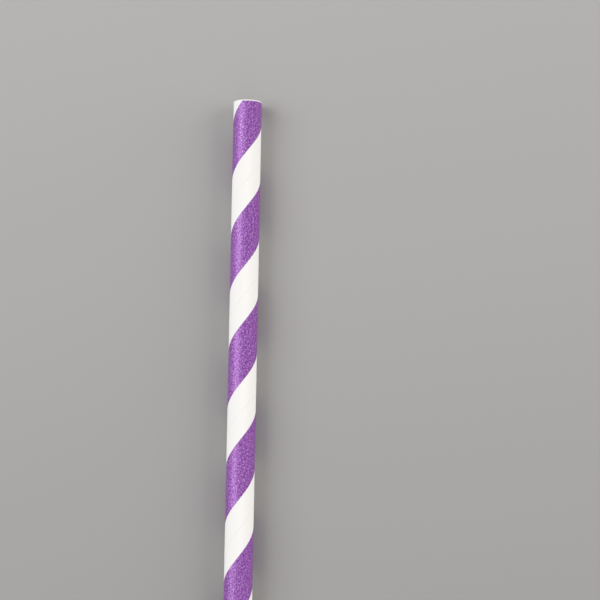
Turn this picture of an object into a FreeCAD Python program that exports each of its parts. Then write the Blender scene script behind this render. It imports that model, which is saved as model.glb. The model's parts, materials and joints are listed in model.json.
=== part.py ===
import FreeCAD, Part
import Sketcher
import os

# A spiral-wound paper drinking straw, lying on its side.
# Three paper strips, the plies, are wound over each other at a steep angle and glued into one tube.
# The tube lies along Y with its lowest line on z = 0, and its drinking end is at +Y.
# Lengths are in millimetres.

NODE = "straw_tube"

SIZES = {
    "straw_length": (197, "cut length of the tube, end to end"),
    "outer_diameter": (6, "outside of the tube"),
    "outer_ply": (0.1, "thickness of the printed outer ply"),
    "core_ply": (0.15, "thickness of each of the two plies under it"),
    "rim_bevel": (0.18, "bevel of the cut edge outside, pressed in by the knife"),
    "bore_bevel": (0.05, "bevel of the cut edge inside"),
}

RADIUS = "Sizes.outer_diameter / 2"
WALL = "(Sizes.outer_ply + 2 * Sizes.core_ply)"


def write_sizes(doc):
    """Puts every driving dimension in the sheet, with its alias and a note."""
    sheet = doc.addObject("Spreadsheet::Sheet", "Sizes")
    for row, (alias, (value, note)) in enumerate(SIZES.items(), start=1):
        sheet.set(f"A{row}", alias)
        sheet.set(f"B{row}", str(value))
        sheet.setAlias(f"B{row}", alias)
        sheet.set(f"C{row}", note)
    doc.recompute()
    return sheet


def lengthwise_sketch(body, name):
    """A sketch in the upright plane along the tube, with its origin on the tube's axis."""
    sketch = body.newObject("Sketcher::SketchObject", name)
    upright = next(plane for plane in body.Origin.OriginFeatures if plane.Role == "YZ_Plane")
    sketch.AttachmentSupport = [(upright, "")]
    sketch.MapMode = "FlatFace"
    sketch.setExpression("AttachmentOffset.Base.y", RADIUS)
    return sketch


def bind(sketch, name, kind, ends, expression):
    """Adds a named dimension between two points, or from the origin, and ties it to the sheet."""
    value = sketch.evalExpression(expression)
    index = sketch.addConstraint(Sketcher.Constraint(kind, *ends, value))
    sketch.renameConstraint(index, name)
    sketch.setExpression(f"Constraints.{name}", expression)


def draw_wall_section(sketch):
    """Draws the wall cut lengthwise: a long thin rectangle beside the tube's axis."""
    half = sketch.evalExpression("Sizes.straw_length / 2")
    top = sketch.evalExpression(RADIUS)
    low = top - sketch.evalExpression(WALL)
    corners = [(-half, low), (half, low), (half, top), (-half, top)]
    points = [FreeCAD.Vector(along, out, 0) for along, out in corners]
    for side in range(4):
        sketch.addGeometry(Part.LineSegment(points[side], points[(side + 1) % 4]), False)
    for side in range(4):
        sketch.addConstraint(Sketcher.Constraint("Coincident", side, 2, (side + 1) % 4, 1))
    for side, direction in enumerate(("Horizontal", "Vertical", "Horizontal", "Vertical")):
        sketch.addConstraint(Sketcher.Constraint(direction, side))
    # The points are the sketch's origin (-1, 1) and the section's corners.
    bind(sketch, "foot_end", "DistanceX", (0, 1, -1, 1), "Sizes.straw_length / 2")
    bind(sketch, "whole_length", "DistanceX", (0, 1, 0, 2), "Sizes.straw_length")
    bind(sketch, "outer_radius", "DistanceY", (-1, 1, 2, 1), RADIUS)
    bind(sketch, "wall", "DistanceY", (0, 2, 2, 1), WALL)


def wind_wall(doc, body):
    """Turns the wall's section round the tube's axis."""
    section = lengthwise_sketch(body, "wall_section")
    draw_wall_section(section)
    wall = body.newObject("PartDesign::Revolution", "wound_wall")
    wall.Profile = section
    wall.ReferenceAxis = (section, ["H_Axis"])
    wall.Angle = 360
    doc.recompute()
    return wall


def bevel_cut_ends(doc, body, base, name, edge_radius, bevel):
    """Bevels the two circles of one radius, one at each cut end."""
    circles = [
        f"Edge{number}"
        for number, edge in enumerate(base.Shape.Edges, start=1)
        if isinstance(edge.Curve, Part.Circle) and abs(edge.Curve.Radius - edge_radius) < 1e-6
    ]
    if len(circles) != 2:
        raise RuntimeError(f"{name} found {len(circles)} circles and needs 2")
    chamfer = body.newObject("PartDesign::Chamfer", name)
    chamfer.Base = (base, circles)
    chamfer.setExpression("Size", bevel)
    doc.recompute()
    return chamfer


def straw_tube(doc, sizes):
    """The whole straw: the wall of glued plies, with its two cut ends bevelled in and out."""
    body = doc.addObject("PartDesign::Body", NODE)
    radius = sizes.outer_diameter / 2
    bore = radius - sizes.outer_ply - 2 * sizes.core_ply
    wall = wind_wall(doc, body)
    rims = bevel_cut_ends(doc, body, wall, "rim_edges", radius, "Sizes.rim_bevel")
    bevel_cut_ends(doc, body, rims, "bore_edges", bore, "Sizes.bore_bevel")
    return body


def check_document(doc, nodes):
    """Stops before anything is written if a feature failed or a solid isn't sound."""
    for item in doc.Objects:
        if "Invalid" in item.State or "Error" in item.State:
            raise RuntimeError(f"{item.Label} failed: {item.State}")
    for node in nodes:
        if node.Shape.isNull() or not node.Shape.isValid() or len(node.Shape.Solids) != 1:
            raise RuntimeError(f"{node.Label} isn't one sound solid")
        box = node.Shape.optimalBoundingBox()
        print(f"{node.Label}: {box.XLength:.3f} x {box.YLength:.3f} x {box.ZLength:.3f} mm")
        print(f"{node.Label}: lowest point {box.ZMin:.4f} mm, volume {node.Shape.Volume:.2f} mm3")


def main():
    doc = FreeCAD.newDocument("paper_straw")
    sizes = write_sizes(doc)
    nodes = [straw_tube(doc, sizes)]
    doc.recompute()
    check_document(doc, nodes)
    os.makedirs("parts", exist_ok=True)
    for node in nodes:
        node.Shape.exportStep(os.path.join("parts", f"{node.Label}.step"))


main()
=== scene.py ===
import json
import math

import bpy
from mathutils import Matrix, Vector


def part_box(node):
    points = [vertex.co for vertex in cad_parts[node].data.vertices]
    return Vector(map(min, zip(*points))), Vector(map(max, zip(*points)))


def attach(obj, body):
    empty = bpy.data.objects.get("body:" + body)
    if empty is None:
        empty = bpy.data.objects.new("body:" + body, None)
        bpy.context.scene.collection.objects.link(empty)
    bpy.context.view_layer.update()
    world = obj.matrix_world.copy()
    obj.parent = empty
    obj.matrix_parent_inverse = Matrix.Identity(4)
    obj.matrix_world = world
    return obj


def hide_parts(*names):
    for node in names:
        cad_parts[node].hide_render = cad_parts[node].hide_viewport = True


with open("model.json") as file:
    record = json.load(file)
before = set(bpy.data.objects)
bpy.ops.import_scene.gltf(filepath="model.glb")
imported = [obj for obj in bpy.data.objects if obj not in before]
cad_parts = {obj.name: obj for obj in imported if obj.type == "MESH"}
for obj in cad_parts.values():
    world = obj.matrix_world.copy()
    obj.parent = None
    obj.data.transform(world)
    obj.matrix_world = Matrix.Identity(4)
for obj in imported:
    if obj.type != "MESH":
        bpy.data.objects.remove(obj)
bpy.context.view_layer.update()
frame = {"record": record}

# A paper drinking straw, lying on its side with its drinking end at +Y.
# The outer ply is white paper with one purple stripe printed along it before it was wound.
# Lengths are in metres.

MM = 0.001

ROUND_SIZES = {mount["name"]: mount["dims"]["r_mm"] * MM for mount in frame["record"]["mounts"]}
TUBE_LOW, TUBE_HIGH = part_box("straw_tube")
TUBE_LENGTH = TUBE_HIGH.y - TUBE_LOW.y
OUTER_RADIUS = ROUND_SIZES["outside"]
BORE_RADIUS = ROUND_SIZES["bore"]
TUBE_END = TUBE_HIGH.y

# A strip of paper climbs by one lead in each turn, and its two edges meet in the seam.
LEAD = 24.2 * MM
GIRTH = 2 * math.pi * OUTER_RADIUS
TURN_LENGTH = math.hypot(LEAD, GIRTH)
STRIP_WIDTH = LEAD * GIRTH / TURN_LENGTH
PLIES = 3

# The purple band's share of the strip's width, and its middle's shift from the middle of the strip.
PURPLE_SHARE = 0.511
BAND_SHIFT = 0.014

INK = (0.405, 0.129, 0.550, 1)
INK_DEEP = (0.155, 0.021, 0.250, 1)
INK_THIN = (0.700, 0.510, 0.800, 1)
PAPER_WHITE = (0.860, 0.847, 0.829, 1)
PAPER_FIBRE = (0.830, 0.800, 0.765, 1)

# The ink lies unevenly on the paper, in clouds, in finer flecks and in specks where it is thin.
CLOUD_SIZE = 0.75 * MM
FLECK_SIZE = 0.36 * MM
SPECK_SIZE = 0.29 * MM
CLOUD_SHARE = 0.15
SPECK_THINNESS = 0.7
INK_LUSTRE = 0.27
PRINTED_ROUGHNESS = 0.80
INK_SMOOTHING = 0.33
FLECK_ROUGHNESS = 0.14
PRINT_RELIEF = 0.05 * MM

# The stripe's edge is a soft step, and wavers where the ink bled into the fibres.
EDGE_SOFTNESS = 0.04 * MM
BLEED_SIZE = 0.25 * MM
BLEED_REACH = 0.10 * MM

# The unprinted plies show their fibres.
FIBRE_SIZE = 0.16 * MM
FIBRE_RELIEF = 0.015 * MM
BARE_CLOUD_SIZE = 1.6 * MM
BARE_ROUGHNESS = 0.78

# The floor's colour carries painted shade: it is dim up to one place along the straw's line, and pale
# from the other on.
# painted shade: the floor's colour where the light would fall off
FLOOR_PAINTED_SHADE = (0.270, 0.265, 0.260, 1)
FLOOR_PALE = (0.425, 0.418, 0.411, 1)
FLOOR_PAINTED_SHADE_TO = -0.20
FLOOR_PALE_FROM = 0.22
FLOOR_HALF = 3.0
ROOM_LIGHT = 0.54


class Term:
    """A number inside a node tree, which takes the usual signs of arithmetic."""

    def __init__(self, wiring, socket):
        self.wiring = wiring
        self.socket = socket

    def __add__(self, other):
        return self.wiring.math("ADD", self, other)

    def __radd__(self, other):
        return self.wiring.math("ADD", other, self)

    def __sub__(self, other):
        return self.wiring.math("SUBTRACT", self, other)

    def __rsub__(self, other):
        return self.wiring.math("SUBTRACT", other, self)

    def __mul__(self, other):
        return self.wiring.math("MULTIPLY", self, other)

    def __rmul__(self, other):
        return self.wiring.math("MULTIPLY", other, self)

    def __truediv__(self, other):
        return self.wiring.math("DIVIDE", self, other)

    def __rtruediv__(self, other):
        return self.wiring.math("DIVIDE", other, self)

    def __neg__(self):
        return self.wiring.math("MULTIPLY", self, -1.0)


class Wiring:
    """Adds nodes to one tree and joins them."""

    def __init__(self, tree):
        self.tree = tree

    def feed(self, socket, value):
        """Links a term or an output to a socket, or sets a plain value on it."""
        if isinstance(value, Term):
            value = value.socket
        if isinstance(value, bpy.types.NodeSocket):
            self.tree.links.new(value, socket)
        else:
            socket.default_value = value

    def add(self, kind, fed=(), **settings):
        """A new node, with its settings made and its named or numbered sockets fed."""
        node = self.tree.nodes.new(kind)
        for name, value in settings.items():
            setattr(node, name, value)
        for key, value in dict(fed).items():
            self.feed(node.inputs[key], value)
        return node

    def term(self, socket):
        return Term(self, socket)

    def math(self, operation, *values):
        node = self.add("ShaderNodeMath", enumerate(values), operation=operation)
        return self.term(node.outputs[0])

    def sine(self, angle):
        return self.math("SINE", angle)

    def cosine(self, angle):
        return self.math("COSINE", angle)

    def clamp(self, value, low, high):
        return self.math("MINIMUM", self.math("MAXIMUM", value, low), high)

    def wrap(self, turns):
        """The distance to the nearest whole number, from -0.5 to 0.5."""
        return self.math("FRACT", turns + 0.5) - 0.5

    def hump(self, distance, reach):
        """1 at no distance, and smoothly down to 0 at reach on either side."""
        ramp = self.add(
            "ShaderNodeMapRange",
            {"Value": self.math("ABSOLUTE", distance), "From Max": reach, "To Min": 1.0, "To Max": 0.0},
            interpolation_type="SMOOTHSTEP",
        )
        return self.term(ramp.outputs[0])

    def combine(self, x, y, z):
        node = self.add("ShaderNodeCombineXYZ", {"X": x, "Y": y, "Z": z})
        return node.outputs[0]

    def split(self, vector):
        node = self.add("ShaderNodeSeparateXYZ", {0: vector})
        return [self.term(socket) for socket in node.outputs]


# The sizes that the straw's tree takes, with the seed of its unevenness.
STRAW_SIZES = {
    "Length": TUBE_LENGTH,
    "Outer Radius": OUTER_RADIUS,
    "Bore Radius": BORE_RADIUS,
    "Lead": LEAD,
    "Strip Width": STRIP_WIDTH,
    "Outer Seam From End": 17.5 * MM,
    "Bore Seam From End": 9.2 * MM,
    "Seam Width": 0.10 * MM,
    "Seam Depth": 0.065 * MM,
    "Lip Width": 0.5 * MM,
    "Lip Lift": 0.012 * MM,
    "Crease Width": 0.5 * MM,
    "Crease Depth": 0.006 * MM,
    "Cut Edge": 0.24 * MM,
    "Outer Ply": 0.1 * MM,
    "Glue Line Depth": 0.03 * MM,
    "Unevenness": 0.006 * MM,
    "Unevenness Size": 5.0 * MM,
    "Fuzz": 0.012 * MM,
    "Fuzz Size": 0.12 * MM,
    "Seed": 3.0,
}
STRAW_COUNTS = {"Steps Per Turn": 80, "Outer Columns": 78, "Bore Columns": 18, "Rim Rings": 40}
MERGE_DISTANCE = 0.002 * MM

# The lip's crest lies this many lip widths from the seam.
LIP_PLACE = 0.8
# 1 makes the cut end's section half round, and a smaller number makes it squarer.
CUT_ROUNDNESS = 0.35


def relief_noise(wiring, size, place, grain, detail):
    """Seeded noise from 0 to 1 in space, whose patches are about the grain's size."""
    node = wiring.add(
        "ShaderNodeTexNoise",
        {"Vector": place, "W": size["Seed"], "Scale": 1 / grain, "Detail": detail},
        noise_dimensions="4D",
    )
    return wiring.term(node.outputs[0])


def paper_relief(wiring, size, phase, place):
    """How far the paper stands out from the plain wall, as a height.

    phase is the place across the strip in strip widths, with the seam at whole numbers.
    The seams of the plies underneath show through as shallow creases, a third of a strip apart.
    """
    across = wiring.wrap(phase) * size["Strip Width"]
    slit = wiring.hump(across, size["Seam Width"] / 2)
    lip = wiring.hump(across - size["Lip Width"] * LIP_PLACE, size["Lip Width"])
    height = size["Lip Lift"] * lip - size["Seam Depth"] * slit
    for ply in range(1, PLIES):
        crease = wiring.wrap(phase - ply / PLIES) * size["Strip Width"]
        height = height - size["Crease Depth"] * wiring.hump(crease, size["Crease Width"])
    waves = relief_noise(wiring, size, place, size["Unevenness Size"], detail=1.0)
    return height + size["Unevenness"] * (waves * 2 - 1)


def outer_face(size):
    """The outer face: its radius, its seam's place and its way out of the paper.

    The radius is a little under the tube's, so that the lips of the seam don't stand past it.
    """
    plain_radius = size["Outer Radius"] - size["Lip Lift"] - size["Unevenness"]
    return plain_radius, size["Outer Seam From End"], 1.0


def bore_face(size):
    """The bore: its radius, its seam's place and its way out of the paper, which is inwards."""
    return size["Bore Radius"], size["Bore Seam From End"], -1.0


def seam_start(wiring, size, from_end):
    """The seam's place along the tube at the first turn, which lies wholly past the far end."""
    turns_before = wiring.math("CEIL", (size["Length"] - from_end) / size["Lead"]) + 1
    start = size["Length"] / 2 - from_end - turns_before * size["Lead"]
    return start, turns_before + 1


def on_tube(wiring, size, radius, turn, along):
    """The point of the tube at that radius, turned from the top line towards +X."""
    angle = turn * (2 * math.pi)
    sideways = radius * wiring.sine(angle)
    up = size["Outer Radius"] + radius * wiring.cosine(angle)
    return wiring.combine(sideways, along, up)


def grid(wiring, columns, rows):
    """A grid of quads, and its two coordinates, each from 0 to 1."""
    mesh = wiring.add(
        "GeometryNodeMeshGrid",
        {"Size X": 1.0, "Size Y": 1.0, "Vertices X": columns + 1, "Vertices Y": rows + 1},
    )
    first, second, _ = wiring.split(wiring.add("GeometryNodeInputPosition").outputs[0])
    return mesh.outputs["Mesh"], first + 0.5, second + 0.5


def wound_face(wiring, size, face, columns):
    """One face of the wall, made of the strip of paper that is wound there.

    The strip is one lead wide along the tube, so its two edges meet in the seam.
    What would stand past a cut end is pressed back onto it, where the merge takes it up.
    """
    radius, from_end, outwards = face
    start, turns = seam_start(wiring, size, from_end)
    mesh, strip_share, turn_share = grid(wiring, columns, turns * size["Steps Per Turn"])
    # The columns crowd towards the seam and the creases.
    part = strip_share * PLIES
    crowded = 0.5 - 0.5 * wiring.cosine(wiring.math("FRACT", part) * math.pi)
    across = (wiring.math("FLOOR", part) + crowded) / PLIES
    turn = turn_share * turns
    reach = size["Length"] / 2 - size["Cut Edge"]
    along = wiring.clamp(start + size["Lead"] * (turn + across), -reach, reach)
    phase = (along - start) / size["Lead"] - turn
    relief = paper_relief(wiring, size, phase, on_tube(wiring, size, radius, turn, along))
    place = on_tube(wiring, size, radius + relief * outwards, turn, along)
    winding = wiring.add(
        "GeometryNodeStoreNamedAttribute",
        {"Geometry": mesh, "Name": "winding"},
        data_type="FLOAT2",
        domain="CORNER",
    )
    wiring.feed(winding.inputs["Value"], wiring.combine(turn, phase, 0.0))
    moved = wiring.add(
        "GeometryNodeSetPosition", {"Geometry": winding.outputs[0], "Position": place}
    )
    return moved.outputs[0]


def cut_end(wiring, size, side):
    """The cut end at one side: rounded edges, and the raw edges of the plies between them."""
    mesh, wall_share, turn = grid(wiring, size["Rim Rings"], size["Steps Per Turn"])
    edge = (size["Length"] / 2 - size["Cut Edge"]) * side
    radii = []
    for radius, from_end, outwards in (outer_face(size), bore_face(size)):
        start, _ = seam_start(wiring, size, from_end)
        phase = (edge - start) / size["Lead"] - turn
        relief = paper_relief(wiring, size, phase, on_tube(wiring, size, radius, turn, edge))
        radii.append(radius + relief * outwards)
    outer, bore = radii
    swing = wall_share * math.pi
    radius = (outer + bore) / 2 + (outer - bore) / 2 * wiring.cosine(swing)
    swell = wiring.math("POWER", wiring.math("MAXIMUM", wiring.sine(swing), 0.0), CUT_ROUNDNESS)
    depth_in_wall = size["Outer Radius"] - radius
    core_ply = (size["Outer Radius"] - size["Bore Radius"] - size["Outer Ply"]) / 2
    glue_reach = size["Outer Ply"] / 3
    glue = wiring.hump(depth_in_wall - size["Outer Ply"], glue_reach)
    glue = glue + wiring.hump(depth_in_wall - size["Outer Ply"] - core_ply, glue_reach)
    raw_edge = on_tube(wiring, size, radius, turn, edge)
    fuzz = relief_noise(wiring, size, raw_edge, size["Fuzz Size"], detail=2.0)
    rough = size["Glue Line Depth"] * glue + size["Fuzz"] * fuzz
    along = edge + (size["Cut Edge"] * swell - rough * swell) * side
    place = on_tube(wiring, size, radius, turn, along)
    moved = wiring.add("GeometryNodeSetPosition", {"Geometry": mesh, "Position": place})
    return moved.outputs[0]


def flipped(wiring, mesh):
    return wiring.add("GeometryNodeFlipFaces", {0: mesh}).outputs[0]


def straw_tree():
    """The wound straw: outer face, bore and two cut ends, merged into one closed wall."""
    tree = bpy.data.node_groups.new("wound_straw", "GeometryNodeTree")
    tree.interface.new_socket(name="Geometry", in_out="INPUT", socket_type="NodeSocketGeometry")
    for name in STRAW_SIZES:
        tree.interface.new_socket(name=name, in_out="INPUT", socket_type="NodeSocketFloat")
    for name in STRAW_COUNTS:
        tree.interface.new_socket(name=name, in_out="INPUT", socket_type="NodeSocketInt")
    for name in ("Printed Paper", "Bare Paper"):
        tree.interface.new_socket(name=name, in_out="INPUT", socket_type="NodeSocketMaterial")
    tree.interface.new_socket(name="Geometry", in_out="OUTPUT", socket_type="NodeSocketGeometry")
    wiring = Wiring(tree)
    entry = wiring.add("NodeGroupInput")
    size = {name: wiring.term(entry.outputs[name]) for name in (*STRAW_SIZES, *STRAW_COUNTS)}

    outside = wound_face(wiring, size, outer_face(size), size["Outer Columns"])
    marked = wiring.add(
        "GeometryNodeStoreNamedAttribute",
        {"Geometry": outside, "Name": "outside", "Value": True},
        data_type="BOOLEAN",
        domain="FACE",
    )
    bore = wound_face(wiring, size, bore_face(size), size["Bore Columns"])
    joined = wiring.add("GeometryNodeJoinGeometry")
    for mesh in (
        flipped(wiring, marked.outputs[0]),
        bore,
        flipped(wiring, cut_end(wiring, size, 1.0)),
        cut_end(wiring, size, -1.0),
    ):
        tree.links.new(mesh, joined.inputs[0])
    merged = wiring.add(
        "GeometryNodeMergeByDistance",
        {"Geometry": joined.outputs[0], "Distance": MERGE_DISTANCE},
    )
    smooth = wiring.add("GeometryNodeSetShadeSmooth", {"Geometry": merged.outputs[0]})
    real = wiring.add("GeometryNodeRealizeInstances", {"Geometry": smooth.outputs[0]})
    bare = wiring.add(
        "GeometryNodeSetMaterial",
        {"Geometry": real.outputs[0], "Material": entry.outputs["Bare Paper"]},
    )
    is_outside = wiring.add("GeometryNodeInputNamedAttribute", {"Name": "outside"}, data_type="BOOLEAN")
    printed = wiring.add(
        "GeometryNodeSetMaterial",
        {
            "Geometry": bare.outputs[0],
            "Selection": is_outside.outputs[0],
            "Material": entry.outputs["Printed Paper"],
        },
    )
    leave = wiring.add("NodeGroupOutput")
    tree.links.new(printed.outputs[0], leave.inputs[0])
    return tree


def plain_mesh(tree, name, values):
    """Runs the tree once with these values and keeps its result as a plain mesh object."""
    carrier = bpy.data.objects.new(f"{name}_carrier", bpy.data.meshes.new(f"{name}_carrier"))
    bpy.context.scene.collection.objects.link(carrier)
    modifier = carrier.modifiers.new("winding", "NODES")
    modifier.node_group = tree
    for item in tree.interface.items_tree:
        if item.in_out == "INPUT" and item.name in values:
            modifier[item.identifier] = values[item.name]
    graph = bpy.context.evaluated_depsgraph_get()
    mesh = bpy.data.meshes.new_from_object(carrier.evaluated_get(graph))
    bpy.data.objects.remove(carrier)
    mesh.name = name
    piece = bpy.data.objects.new(name, mesh)
    bpy.context.scene.collection.objects.link(piece)
    return piece


def new_material(name):
    """An empty node material with its surface shader, and the wiring to fill it."""
    material = bpy.data.materials.new(name)
    material.use_nodes = True
    material.node_tree.nodes.clear()
    wiring = Wiring(material.node_tree)
    shader = wiring.add("ShaderNodeBsdfPrincipled")
    output = wiring.add("ShaderNodeOutputMaterial")
    material.node_tree.links.new(shader.outputs[0], output.inputs["Surface"])
    return material, wiring, shader


def noise(wiring, vector, grain, detail=2.0, roughness=0.5):
    """Noise from 0 to 1 whose patches are about the grain's size."""
    node = wiring.add(
        "ShaderNodeTexNoise",
        {"Vector": vector, "Scale": 1 / grain, "Detail": detail, "Roughness": roughness},
    )
    return wiring.term(node.outputs[0])


def blend(wiring, share, first, second):
    """A colour between two, by a share from 0 to 1."""
    node = wiring.add("ShaderNodeMix", data_type="RGBA")
    wiring.feed(node.inputs["Factor"], share)
    wiring.feed(node.inputs[6], first)
    wiring.feed(node.inputs[7], second)
    return node.outputs[2]


def ramp(wiring, value, low, high):
    """0 below low and 1 above high, with a smooth step between."""
    node = wiring.add(
        "ShaderNodeMapRange",
        {"Value": value, "From Min": low, "From Max": high},
        interpolation_type="SMOOTHSTEP",
    )
    return wiring.term(node.outputs[0])


def bump(wiring, height, distance):
    """The surface's direction where a height from 0 to 1 stands out by the distance."""
    node = wiring.add("ShaderNodeBump", {"Height": height, "Distance": distance})
    return node.outputs[0]


def printed_paper():
    """White paper with the purple stripe, printed on the strip before it was wound."""
    material, wiring, shader = new_material("printed_paper")
    winding = wiring.add("ShaderNodeUVMap", uv_map="winding")
    turn, phase, _ = wiring.split(winding.outputs[0])
    along = turn * TURN_LENGTH + phase * (LEAD * LEAD / TURN_LENGTH)
    across = phase * STRIP_WIDTH
    paper = wiring.combine(along, across, 0.0)

    from_purple = wiring.math("ABSOLUTE", wiring.wrap(phase - 0.5 - BAND_SHIFT)) * STRIP_WIDTH
    bleed = (noise(wiring, paper, BLEED_SIZE, detail=3.0) - 0.5) * BLEED_REACH
    stripe_edge = PURPLE_SHARE / 2 * STRIP_WIDTH
    past_edge = ramp(
        wiring, from_purple + bleed, stripe_edge - EDGE_SOFTNESS, stripe_edge + EDGE_SOFTNESS
    )
    inked = 1 - past_edge

    cloud = noise(wiring, paper, CLOUD_SIZE, detail=4.0, roughness=0.75)
    fleck = noise(wiring, paper, FLECK_SIZE, detail=1.0)
    speck = noise(wiring, paper, SPECK_SIZE, detail=0.0)
    mottle = ramp(wiring, cloud * CLOUD_SHARE + fleck * (1 - CLOUD_SHARE), 0.34, 0.68)
    ink = blend(wiring, mottle, INK_DEEP, INK)
    ink = blend(wiring, ramp(wiring, speck, 0.58, 0.80) * SPECK_THINNESS, ink, INK_THIN)
    white = blend(wiring, ramp(wiring, cloud, 0.60, 0.85) * 0.35, PAPER_WHITE, PAPER_FIBRE)
    wiring.feed(shader.inputs["Base Color"], blend(wiring, inked, white, ink))

    roughness = PRINTED_ROUGHNESS - INK_SMOOTHING * inked + FLECK_ROUGHNESS * (fleck - 0.5)
    wiring.feed(shader.inputs["Metallic"], inked * INK_LUSTRE)
    wiring.feed(shader.inputs["Roughness"], roughness)
    wiring.feed(shader.inputs["Normal"], bump(wiring, cloud * 0.4 + fleck * 0.6, PRINT_RELIEF))
    shader.inputs["Specular IOR Level"].default_value = 0.9
    return material


def bare_paper():
    """The unprinted plies, seen in the bore and at the cut ends."""
    material, wiring, shader = new_material("bare_paper")
    place = wiring.add("ShaderNodeTexCoord").outputs["Object"]
    fibre = noise(wiring, place, FIBRE_SIZE, detail=4.0, roughness=0.65)
    cloud = noise(wiring, place, BARE_CLOUD_SIZE, detail=3.0)
    colour = blend(wiring, ramp(wiring, fibre, 0.40, 0.75) * 0.5, PAPER_WHITE, PAPER_FIBRE)
    wiring.feed(shader.inputs["Base Color"], colour)
    wiring.feed(shader.inputs["Roughness"], BARE_ROUGHNESS + 0.1 * (cloud - 0.5))
    wiring.feed(shader.inputs["Normal"], bump(wiring, fibre, FIBRE_RELIEF))
    shader.inputs["Specular IOR Level"].default_value = 0.35
    return material


def floor_paint_and_painted_shade():
    """Pale grey paint with painted shade, dimmer towards the straw's lower end and beyond it."""
    material, wiring, shader = new_material("floor_paint_and_painted_shade")
    place = wiring.add("ShaderNodeTexCoord").outputs["Object"]
    _, along, _ = wiring.split(place)
    # painted shade: the floor's colour darkens towards -Y in place of light falling off
    share = ramp(wiring, along, FLOOR_PAINTED_SHADE_TO, FLOOR_PALE_FROM)
    wiring.feed(shader.inputs["Base Color"], blend(wiring, share, FLOOR_PAINTED_SHADE, FLOOR_PALE))
    shader.inputs["Roughness"].default_value = 0.9
    shader.inputs["Specular IOR Level"].default_value = 0.2
    return material


def add_straw():
    """The straw as it is seen, which stands for the plain tube of the CAD."""
    values = {**STRAW_SIZES, **STRAW_COUNTS}
    values["Printed Paper"] = printed_paper()
    values["Bare Paper"] = bare_paper()
    straw = plain_mesh(straw_tree(), "wound_straw", values)
    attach(straw, "root")
    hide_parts("straw_tube")


def add_floor():
    """The plain floor that the straw lies on."""
    mesh = bpy.data.meshes.new("studio_floor")
    signs = [(-1, -1), (1, -1), (1, 1), (-1, 1)]
    corners = [(FLOOR_HALF * x, FLOOR_HALF * y, 0) for x, y in signs]
    mesh.from_pydata(corners, [], [(0, 1, 2, 3)])
    mesh.materials.append(floor_paint_and_painted_shade())
    floor = bpy.data.objects.new("studio_floor", mesh)
    bpy.context.scene.collection.objects.link(floor)


# The view: where the straw's end and its middle line lie in the 600 x 600 photograph.
PHOTO_WIDTH_PX = 600
FOCAL_PX = 1300
SENSOR_MM = 36
PX_PER_MM = 4.73
END_PX = (247.2, 102.3)
MIDDLE_PX = (243.8, 300.0)
LEAN_BACK = math.radians(3.7)


def add_camera():
    """Looks down on the straw as the photograph looks at it, from a little below its drinking end."""
    data = bpy.data.cameras.new("view")
    data.sensor_width = SENSOR_MM
    data.lens = FOCAL_PX / PHOTO_WIDTH_PX * SENSOR_MM
    camera = bpy.data.objects.new("view", data)
    bpy.context.scene.collection.objects.link(camera)
    bpy.context.scene.camera = camera

    distance = FOCAL_PX / PX_PER_MM * MM
    rise_px = MIDDLE_PX[1] - END_PX[1]
    climb = rise_px * distance
    climb /= FOCAL_PX * math.cos(LEAN_BACK) - rise_px * math.sin(LEAN_BACK)
    target = Vector((0, TUBE_END - climb, OUTER_RADIUS))

    ahead = Vector((0, math.sin(LEAN_BACK), -math.cos(LEAN_BACK)))
    roll = math.atan2(END_PX[0] - MIDDLE_PX[0], rise_px)
    level_up = Vector((0, math.cos(LEAN_BACK), math.sin(LEAN_BACK)))
    right = Vector((1, 0, 0)) * math.cos(roll) + level_up * math.sin(roll)
    up = level_up * math.cos(roll) - Vector((1, 0, 0)) * math.sin(roll)
    left_of_middle = (PHOTO_WIDTH_PX / 2 - MIDDLE_PX[0]) / FOCAL_PX * distance
    place = target - ahead * distance + right * left_of_middle
    turn = Matrix((right, up, -ahead)).transposed().to_4x4()
    camera.matrix_world = Matrix.Translation(place) @ turn


def add_softbox(name, from_above, bearing, distance, width, power, colour, highlight):
    """A square light aimed at the straw.

    from_above is its angle from straight up, and bearing its angle round from +Y towards +X.
    """
    data = bpy.data.lights.new(name, "AREA")
    data.shape = "SQUARE"
    data.size = width
    data.energy = power
    data.color = colour
    light = bpy.data.objects.new(name, data)
    tilt = math.radians(from_above)
    heading = math.radians(bearing)
    level = Vector((math.sin(heading), math.cos(heading), 0))
    towards = level * math.sin(tilt) + Vector((0, 0, math.cos(tilt)))
    target = Vector((0, TUBE_END / 2, 0))
    light.location = target + towards * distance
    light.rotation_euler = towards.to_track_quat("Z", "Y").to_euler()
    light.visible_camera = False
    light.visible_glossy = highlight
    bpy.context.scene.collection.objects.link(light)


def add_light():
    """A softbox from the left, a wider and warmer one low on the right, and a pale room.

    Only the left one makes a highlight, because the straw in the photograph has no other.
    """
    add_softbox(
        "key",
        from_above=48,
        bearing=-80,
        distance=1.6,
        width=1.16,
        power=16.0,
        colour=(1.0, 1.0, 1.0),
        highlight=True,
    )
    add_softbox(
        "fill",
        from_above=66,
        bearing=80,
        distance=3.2,
        width=2.8,
        power=71.0,
        colour=(1.0, 0.96, 0.93),
        highlight=False,
    )
    world = bpy.data.worlds.new("studio")
    world.use_nodes = True
    background = world.node_tree.nodes["Background"]
    background.inputs["Color"].default_value = (1.0, 1.0, 1.0, 1)
    background.inputs["Strength"].default_value = ROOM_LIGHT
    bpy.context.scene.world = world


add_straw()
add_floor()
add_camera()
add_light()
bpy.context.scene.view_settings.view_transform = "Standard"
